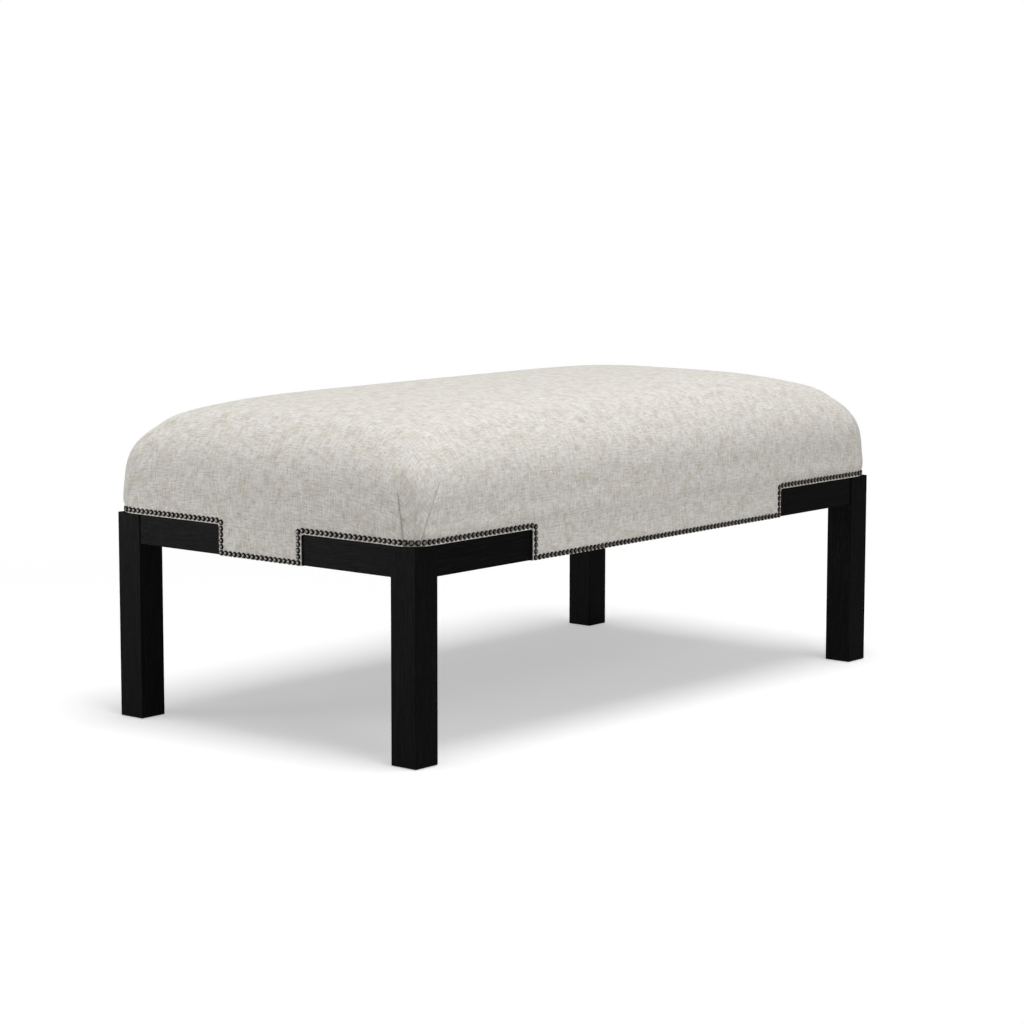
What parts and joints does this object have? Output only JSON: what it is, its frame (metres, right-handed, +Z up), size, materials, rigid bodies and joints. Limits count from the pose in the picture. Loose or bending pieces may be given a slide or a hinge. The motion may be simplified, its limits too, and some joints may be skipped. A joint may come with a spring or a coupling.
{
  "type": "ottoman coffee table",
  "caption": "Upholstered ottoman coffee table: crowned linen-look top with nailhead trim, on square black-stained legs with short show rails at each corner.",
  "frame": {"origin": "on the floor, under the middle of the table", "axes": "+X along the long side, +Y across the table towards the back, +Z up"},
  "size_m": [1.2294, 0.6544, 0.5257],
  "materials": {
    "black_stained_wood": "satin, open grain",
    "linen_fabric": "woven linen look",
    "bronze_studs": "dark bronze, domed",
    "frame_timber": "planed, bare",
    "plywood": "sanded, bare",
    "dowel_beech": "fluted, bare",
    "foam": "open-cell foam",
    "wadding": "fluffy polyester",
    "dust_cloth": "non-woven, matt",
    "zinc_steel": "zinc plated",
    "nylon": "moulded"
  },
  "bodies": {
    "root": {"apron_back": "plywood", "apron_front": "plywood", "apron_left": "plywood", "apron_right": "plywood", "apron_screws": "zinc_steel", "bolt_nuts": "zinc_steel", "bolt_washers": "zinc_steel", "corner_block_back_left": "frame_timber", "corner_block_back_right": "frame_timber", "corner_block_front_left": "frame_timber", "corner_block_front_right": "frame_timber", "corner_block_screws": "frame_timber", "cross_slat_left": "frame_timber", "cross_slat_middle": "frame_timber", "cross_slat_right": "frame_timber", "deck_board": "plywood", "deck_screws": "zinc_steel", "dust_cover": "dust_cloth", "dust_cover_staples": "zinc_steel", "fabric_cover": "linen_fabric", "fabric_staples": "zinc_steel", "foam_block": "foam", "frame_rail_back": "frame_timber", "frame_rail_front": "frame_timber", "frame_rail_left": "frame_timber", "frame_rail_right": "frame_timber", "hanger_bolts": "zinc_steel", "leg_back_left": "black_stained_wood", "leg_back_right": "black_stained_wood", "leg_front_left": "black_stained_wood", "leg_front_right": "black_stained_wood", "leg_glides": "nylon", "show_rail_back_left_long": "black_stained_wood", "show_rail_back_left_short": "black_stained_wood", "show_rail_back_right_long": "black_stained_wood", "show_rail_back_right_short": "black_stained_wood", "show_rail_dowels": "dowel_beech", "show_rail_front_left_long": "black_stained_wood", "show_rail_front_left_short": "black_stained_wood", "show_rail_front_right_long": "black_stained_wood", "show_rail_front_right_short": "black_stained_wood", "show_rail_screws": "zinc_steel", "slat_screws": "zinc_steel", "studs_corner_back_left": "bronze_studs", "studs_corner_back_right": "bronze_studs", "studs_corner_front_left": "bronze_studs", "studs_corner_front_right": "bronze_studs", "studs_skirt_back": "bronze_studs", "studs_skirt_front": "bronze_studs", "studs_skirt_left": "bronze_studs", "studs_skirt_right": "bronze_studs", "wadding": "wadding"}
  },
  "joints": []
}
